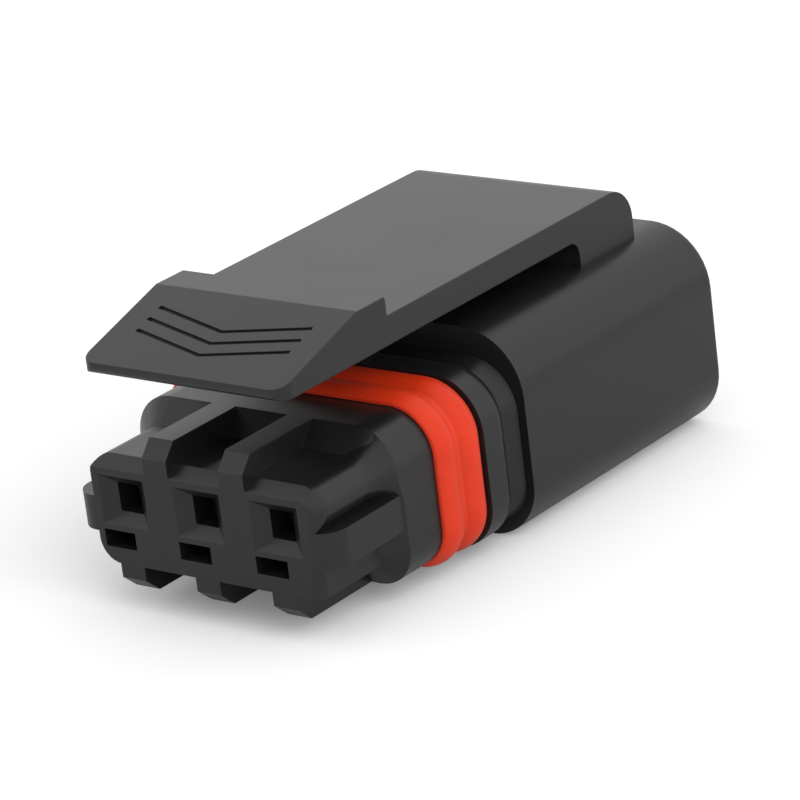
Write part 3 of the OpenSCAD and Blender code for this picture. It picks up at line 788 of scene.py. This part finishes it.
def make_latch_body():
    """The sprung arm and its root as one moulding, lofted through its cross-sections."""
    mesh = bmesh.new()
    rings = [section_loop(mesh, *section, EDGE_ROUND, 3) for section in latch_sections()]
    for before, after in zip(rings, rings[1:]):
        for i in range(len(before)):
            following = (i + 1) % len(before)
            mesh.faces.new((before[i], after[i], after[following], before[following]))
    mesh.faces.new(rings[0])
    mesh.faces.new(list(reversed(rings[-1])))
    bmesh.ops.remove_doubles(mesh, verts=mesh.verts, dist=0.0004 * MM)
    bmesh.ops.dissolve_degenerate(mesh, edges=mesh.edges, dist=0.0002 * MM)
    bmesh.ops.recalc_face_normals(mesh, faces=mesh.faces)
    body = blank("latch_start")
    mesh.to_mesh(body.data)
    mesh.free()
    return body


def make_engraving_tree():
    """Cuts a row of chevrons into a face that slopes up towards the back."""
    tree, given, result = geometry_tree("Engraved chevrons", [
        ("Marks", WHOLE, 3), ("Pitch", FLOAT, 0.5 * MM), ("Width", FLOAT, 5 * MM),
        ("Length", FLOAT, 0.6 * MM), ("Stroke", FLOAT, 0.13 * MM), ("Depth", FLOAT, 0.12 * MM),
        ("First Mark", FLOAT, 1 * MM), ("Slope", FLOAT, 0.28), ("Corner", VECTOR, None),
        ("Material", MATERIAL, None),
    ])
    # One chevron: a line of three points whose ends lie further back, swept into a cutter.
    line = place(tree, "GeometryNodeMeshLine", Count=3)
    index = tree.nodes.new("GeometryNodeInputIndex").outputs[0]
    side = minus(tree, index, 1.0)
    across = times(tree, side, math_node(tree, "DIVIDE", given["Width"], 2.0))
    back = times(tree, math_node(tree, "ABSOLUTE", side), given["Length"])
    bent = moved_to(tree, line.outputs[0], across, back)
    stroke = place(tree, "GeometryNodeMeshToCurve", Mesh=bent)
    upright = place(tree, "GeometryNodeSetCurveNormal", {"mode": "Z_UP"}, Curve=stroke.outputs[0])
    deep = times(tree, given["Depth"], 2.0)
    cutter = place(tree, "GeometryNodeCurvePrimitiveQuadrilateral", Width=given["Stroke"], Height=deep)
    chevron = place(tree, "GeometryNodeCurveToMesh", Curve=upright.outputs[0], Fill_Caps=True)
    tree.links.new(cutter.outputs[0], chevron.inputs["Profile Curve"])

    # The row of them, tilted onto the slope and taken out of the pad.
    row = place(tree, "GeometryNodeMeshLine", Count=given["Marks"])
    spaced = math_node(tree, "ADD", given["First Mark"], times(tree, index, given["Pitch"]))
    spots = moved_to(tree, row.outputs[0], 0.0, spaced)
    copies = place(tree, "GeometryNodeInstanceOnPoints", Points=spots, Instance=chevron.outputs[0])
    tilted = place(tree, "GeometryNodeTransform", Geometry=copies.outputs[0], Translation=given["Corner"])
    tree.links.new(vector_from(tree, given["Slope"], 0.0, 0.0), tilted.inputs["Rotation"])
    solid = place(tree, "GeometryNodeRealizeInstances", Geometry=tilted.outputs[0])
    cut = place(tree, "GeometryNodeMeshBoolean", {"operation": "DIFFERENCE"})
    tree.links.new(given["Geometry"], cut.inputs["Mesh 1"])
    tree.links.new(solid.outputs[0], cut.inputs["Mesh 2"])
    end_tree(tree, cut.outputs[0], given["Material"], result)
    return tree


def make_latch():
    """Latch with its pad, engraved chevrons and root."""
    rise = ARM[1].z - ARM[0].z - PAD_LIP
    run = PAD_LENGTH - PAD_FLAT
    field = MARK_LENGTH + (MARKS - 1) * MARK_PITCH
    piece = grow(make_latch_body(), make_engraving_tree(), {
        "Marks": MARKS, "Pitch": MARK_PITCH, "Width": MARK_WIDTH, "Length": MARK_LENGTH,
        "Stroke": MARK_STROKE, "Depth": MARK_DEPTH, "First Mark": (run - field + MARK_STROKE) / 2,
        "Slope": math.atan2(rise, run), "Corner": (0.0, ARM[0].y, ARM[0].z + PAD_LIP),
        "Material": LATCH_BLACK,
    }, "latch_skin")
    shade_by_angle(piece, LATCH_SHARP)
    even_normals(piece)
    dress(piece, LATCH_BLACK)
    return piece


latch = make_latch()
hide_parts("latch_arm")
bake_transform(latch)


# ---------------------------------------------------------------- camera
def aim_camera():
    """Long lens in front, to the right and a little above, with a slight roll."""
    azimuth, elevation, roll = math.radians(39.603), math.radians(20.171), math.radians(7.234)
    away = math.cos(elevation)
    back = Vector((math.sin(azimuth) * away, -math.cos(azimuth) * away, math.sin(elevation)))
    right = Vector((math.cos(azimuth), math.sin(azimuth), 0))
    up = back.cross(right)
    turned_right = right * math.cos(roll) - up * math.sin(roll)
    turned_up = right * math.sin(roll) + up * math.cos(roll)
    data = bpy.data.cameras.new("Product camera")
    data.sensor_width = 36
    data.lens = 193.54
    data.clip_start = 0.001
    data.clip_end = 10
    camera = bpy.data.objects.new("Product camera", data)
    bpy.context.scene.collection.objects.link(camera)
    turn = Matrix((turned_right, turned_up, back)).transposed()
    stand = (68.234 * MM, -74.019 * MM, 39.323 * MM)
    camera.matrix_world = Matrix.Translation(stand) @ turn.to_4x4()
    bpy.context.scene.camera = camera


# ---------------------------------------------------------------- floor and light
FLOOR_REACH = 1.5
# Floor colour for mirror rays only, darker than the floor itself: painted shade in the reflections on the
# part's sides and front.
FLOOR_DIMMED_IN_REFLECTIONS = (0.665, 0.665, 0.665, 1)
FLOOR_GLOW = 0.125
SURROUND_LEVEL = 0.77


def make_floor():
    """Plain pale floor that shows white, and keeps the connector's soft shadow; mirror rays see it darker,
    which paints shade into the part's reflections.
    """
    mesh = bpy.data.meshes.new("floor")
    reach, level = FLOOR_REACH, cad_box[0].z
    signs = ((-1, -1), (1, -1), (1, 1), (-1, 1))
    corners = [(reach * x, reach * y, level) for x, y in signs]
    mesh.from_pydata(corners, [], [(0, 1, 2, 3)])
    floor = bpy.data.objects.new("floor", mesh)
    bpy.context.scene.collection.objects.link(floor)
    material, tree, shader, where = new_material("Studio paper")
    fibres = noise(tree, where, 900.0, 3.0, 0.6)
    plain = mix_colour(tree, fibres, (0.78, 0.78, 0.78, 1), (0.82, 0.82, 0.82, 1))
    path = tree.nodes.new("ShaderNodeLightPath")
    seen = path.outputs["Is Camera Ray"]
    # Mirror rays see the floor darker than it is, which paints shade into the part's reflections.
    dimmed_in_reflections = mix_colour(tree, path.outputs["Is Glossy Ray"], plain, FLOOR_DIMMED_IN_REFLECTIONS)
    white = math_node(tree, "MAXIMUM", seen, path.outputs["Is Transmission Ray"])
    feed(tree, shader, "Base Color", mix_colour(tree, white, dimmed_in_reflections, (1.0, 1.0, 1.0, 1)))
    shader.inputs["Emission Color"].default_value = (1, 1, 1, 1)
    feed(tree, shader, "Emission Strength", times(tree, seen, FLOOR_GLOW))
    shader.inputs["Roughness"].default_value = 0.9
    shader.inputs["Specular IOR Level"].default_value = 0.0
    mesh.materials.append(material)


def seen_directly(tree):
    """1 for camera, mirror and glass rays; returns the output."""
    path = tree.nodes.new("ShaderNodeLightPath")
    direct = math_node(tree, "MAXIMUM", path.outputs["Is Camera Ray"], path.outputs["Is Glossy Ray"])
    return math_node(tree, "MAXIMUM", direct, path.outputs["Is Transmission Ray"])


def light_world(level):
    """Even white surround that lights the part softly and shows as plain white."""
    world = bpy.data.worlds.new("Studio")
    bpy.context.scene.world = world
    world.use_nodes = True
    tree = world.node_tree
    tree.nodes.clear()
    shade = tree.nodes.new("ShaderNodeBackground")
    output = tree.nodes.new("ShaderNodeOutputWorld")
    tree.links.new(shade.outputs[0], output.inputs["Surface"])
    shade.inputs["Color"].default_value = (1, 1, 1, 1)
    feed(tree, shade, "Strength", remap(tree, seen_directly(tree), 0.0, 1.0, level, 1.0))


def add_softbox(name, place_at, size, power):
    """Large soft lamp aimed at the connector; mirror rays see the plain white surround instead."""
    data = bpy.data.lights.new(name, "AREA")
    data.shape = "SQUARE"
    data.size = size
    data.energy = power
    lamp = bpy.data.objects.new(name, data)
    bpy.context.scene.collection.objects.link(lamp)
    middle = (cad_box[0] + cad_box[1]) / 2
    lamp.location = place_at
    lamp.visible_glossy = False
    lamp.rotation_euler = (middle - Vector(place_at)).to_track_quat("-Z", "Y").to_euler()


aim_camera()
make_floor()
light_world(SURROUND_LEVEL)
add_softbox("Right softbox", (0.30, -0.08, 0.22), 0.36, 0.8)

view = bpy.context.scene.view_settings
view.view_transform = "Standard"
